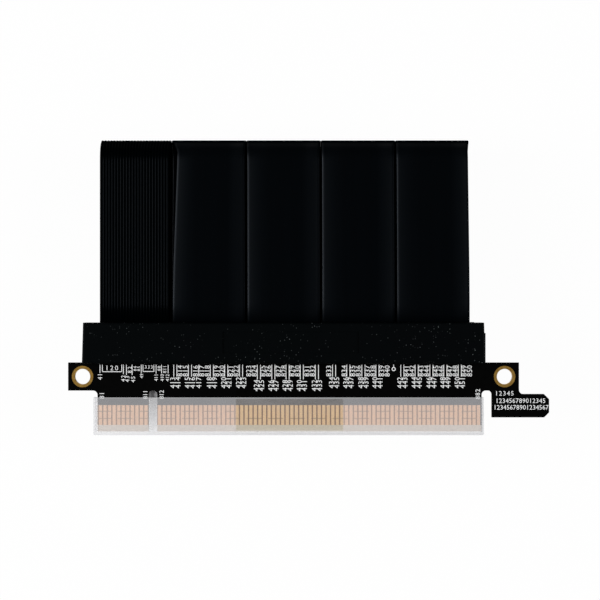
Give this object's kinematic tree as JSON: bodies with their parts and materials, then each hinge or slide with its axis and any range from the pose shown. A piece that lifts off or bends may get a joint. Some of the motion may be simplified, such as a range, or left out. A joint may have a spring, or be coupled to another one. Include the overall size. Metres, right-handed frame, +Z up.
{
  "type": "slot extension cable",
  "caption": "Flat-ribbon extension cable with a gold card edge under a slip-on cover at one end and a card slot at the other, folded flat for storage.",
  "frame": {"origin": "on the table, on the slot housing's underside, below the middle of the finger edge's width and of the first overmould's length", "axes": "+X along the row of contacts towards the hook tail, +Y from the gold fingers towards the ribbons, +Z up from the table"},
  "size_m": [0.1056, 0.0649, 0.024],
  "materials": {
    "board_mask": "satin",
    "gold_plating": "satin",
    "overmould_black": "matte",
    "tinned_wire": "satin",
    "cover_milky": "matte",
    "film_amber": "gloss",
    "wire_jacket": "satin",
    "pair_jacket": "satin",
    "housing_black": "matte"
  },
  "bodies": {
    "root": {"edge_board": "board_mask", "edge_fingers_front": "gold_plating", "edge_fingers_back": "gold_plating", "edge_hole_rims": "gold_plating", "edge_overmould": "overmould_black", "edge_wire_ends": "tinned_wire", "finger_cover": "cover_milky", "finger_film": "film_amber", "wire_ribbon": "wire_jacket", "pair_ribbon_1": "pair_jacket", "pair_ribbon_2": "pair_jacket", "pair_ribbon_3": "pair_jacket", "pair_ribbon_4": "pair_jacket", "slot_board": "board_mask", "slot_housing": "housing_black", "slot_contacts_upper": "gold_plating", "slot_contacts_lower": "gold_plating", "slot_overmould": "overmould_black", "slot_wire_ends": "tinned_wire"}
  },
  "joints": []
}
